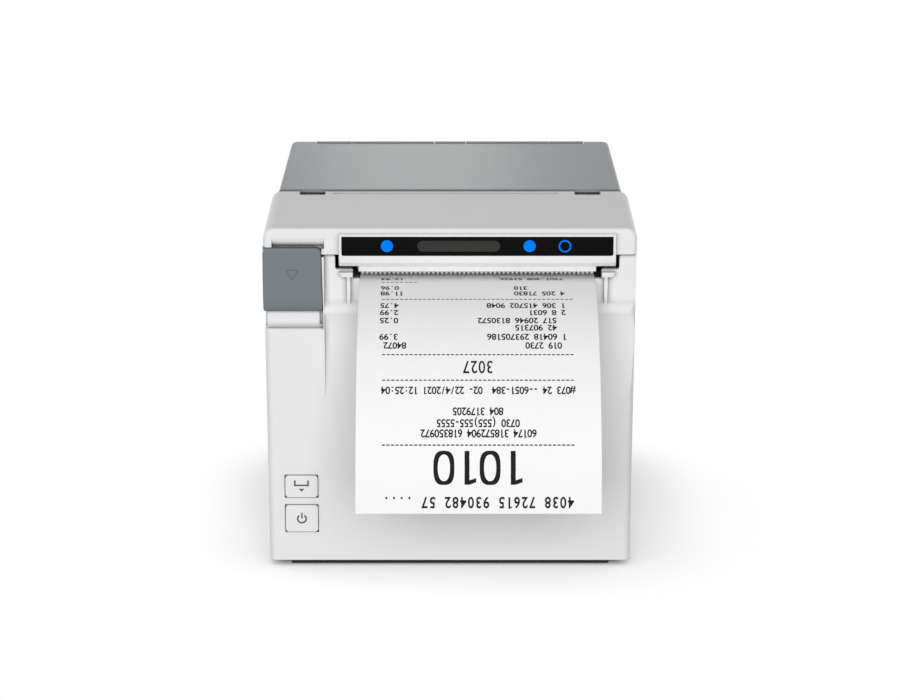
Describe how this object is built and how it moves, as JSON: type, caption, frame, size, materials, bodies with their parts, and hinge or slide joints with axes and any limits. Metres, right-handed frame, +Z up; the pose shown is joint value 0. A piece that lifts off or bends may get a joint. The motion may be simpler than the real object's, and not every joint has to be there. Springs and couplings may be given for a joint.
{
  "type": "queue ticket printer",
  "caption": "Countertop thermal ticket printer with hinged lid, open lever, feed and power buttons, status window, tear bar, cutter and a ticket hanging from its slot.",
  "frame": {"origin": "on the table, under the middle of the machine together with its hanging ticket", "axes": "+X to the right as seen from the front, +Y to the back, +Z up"},
  "size_m": [0.1273, 0.2088, 0.1227],
  "materials": {
    "white_case": "fine matt grain",
    "grey_case": "fine matt grain",
    "lever_grey": "satin",
    "button_white": "satin",
    "window_black": "gloss",
    "light_blue": "gloss",
    "thermal_paper": "smooth",
    "card_core": "matt",
    "black_rubber": "matt",
    "black_plastic": "matt",
    "gear_plastic": "satin",
    "steel": "satin",
    "blade_steel": "ground",
    "aluminium": "satin",
    "ceramic": "smooth",
    "circuit_board": "satin",
    "cable": "satin"
  },
  "bodies": {
    "housing": {"front_case": "white_case", "rear_case": "grey_case", "base_plate": "grey_case", "rubber_feet": "black_rubber", "hinge_pin": "steel", "button_board": "circuit_board", "button_switches": "black_plastic", "platen_bearings": "gear_plastic", "gear_post": "steel", "feed_motor": "steel", "print_frame": "steel", "paper_guides": "black_plastic", "paper_sensor": "black_plastic", "cutter_motor": "steel", "inner_frame": "black_plastic", "near_end_sensor": "black_plastic", "paper_web": "thermal_paper", "ticket": "thermal_paper", "main_board": "circuit_board", "board_chips": "black_plastic", "power_inlet": "black_plastic", "usb_socket": "black_plastic", "network_socket": "black_plastic", "drawer_socket": "black_plastic", "base_ribbon": "cable", "base_screws": "steel", "frame_screws": "steel", "board_screws": "steel"},
    "cover": {"roll_cover": "grey_case", "bezel_cover": "white_case", "led_window": "window_black", "status_lights": "light_blue", "led_board": "circuit_board", "tear_bar": "steel", "head_bracket": "steel", "head_pivot_pin": "steel", "fixed_blade": "blade_steel", "latch_pins": "steel", "head_springs": "steel", "cover_ribbon": "cable"},
    "head": {"heat_sink": "aluminium", "print_head": "ceramic"},
    "latch": {"open_lever": "lever_grey", "latch_shaft": "steel", "latch_hooks": "steel", "lever_spring": "steel"},
    "feed_button": {"feed_button": "button_white"},
    "power_button": {"power_button": "button_white"},
    "platen": {"platen_shaft": "steel", "platen_roller": "black_rubber", "platen_gear": "gear_plastic"},
    "reduction": {"reduction_gear": "gear_plastic"},
    "rotor": {"motor_pinion": "gear_plastic"},
    "cutter": {"moving_blade": "blade_steel"},
    "cutter_rotor": {"cutter_pinion": "gear_plastic"},
    "roll": {"paper_roll": "thermal_paper", "roll_core": "card_core"}
  },
  "joints": [
    {"name": "cover_hinge", "type": "hinge", "parent": "housing", "child": "cover", "pos_m": [0, 0.10014, 0.1184], "axis": [-1, 0, 0], "range_deg": [0, 75]},
    {"name": "open_lever_pivot", "type": "hinge", "parent": "housing", "child": "latch", "pos_m": [0, -0.00186, 0.094], "axis": [1, 0, 0], "range_deg": [0, 7], "stiffness_Nm_per_rad": 0.6, "springref_deg": -6.88},
    {"name": "feed_button_press", "type": "slide", "parent": "housing", "child": "feed_button", "axis": [0, 1, 0], "range_m": [0, 0.0008], "stiffness_N_per_m": 800, "springref_m": -0.0006},
    {"name": "power_button_press", "type": "slide", "parent": "housing", "child": "power_button", "axis": [0, 1, 0], "range_m": [0, 0.0008], "stiffness_N_per_m": 800, "springref_m": -0.0006},
    {"name": "platen_spin", "type": "hinge", "parent": "housing", "child": "platen", "pos_m": [0, -0.01486, 0.0969], "axis": [1, 0, 0], "continuous": true},
    {"name": "reduction_spin", "type": "hinge", "parent": "housing", "child": "reduction", "pos_m": [0, -0.00586, 0.08465], "axis": [1, 0, 0], "continuous": true},
    {"name": "motor_spin", "type": "hinge", "parent": "housing", "child": "rotor", "pos_m": [0, -0.01786, 0.0729], "axis": [1, 0, 0], "continuous": true},
    {"name": "blade_slide", "type": "slide", "parent": "housing", "child": "cutter", "axis": [0, 0, 1], "range_m": [0, 0.005]},
    {"name": "cutter_turn", "type": "hinge", "parent": "housing", "child": "cutter_rotor", "pos_m": [-0.0445, -0.04186, 0.078], "axis": [0, 1, 0], "range_deg": [-80, 0]},
    {"name": "roll_spin", "type": "hinge", "parent": "housing", "child": "roll", "pos_m": [0, 0.05314, 0.0663], "axis": [1, 0, 0], "continuous": true},
    {"name": "head_pivot", "type": "hinge", "parent": "cover", "child": "head", "pos_m": [0, 0.00114, 0.111], "axis": [-1, 0, 0], "range_deg": [0, 3], "stiffness_Nm_per_rad": 2, "springref_deg": -5.73, "deforming": ["head_springs"]}
  ],
  "couplings": [
    {"joint": "reduction_spin", "follows": "platen_spin", "ratio": -1.7143},
    {"joint": "motor_spin", "follows": "platen_spin", "ratio": 4.2857},
    {"joint": "cutter_turn", "follows": "blade_slide", "rad_per_m": -277.78}
  ]
}
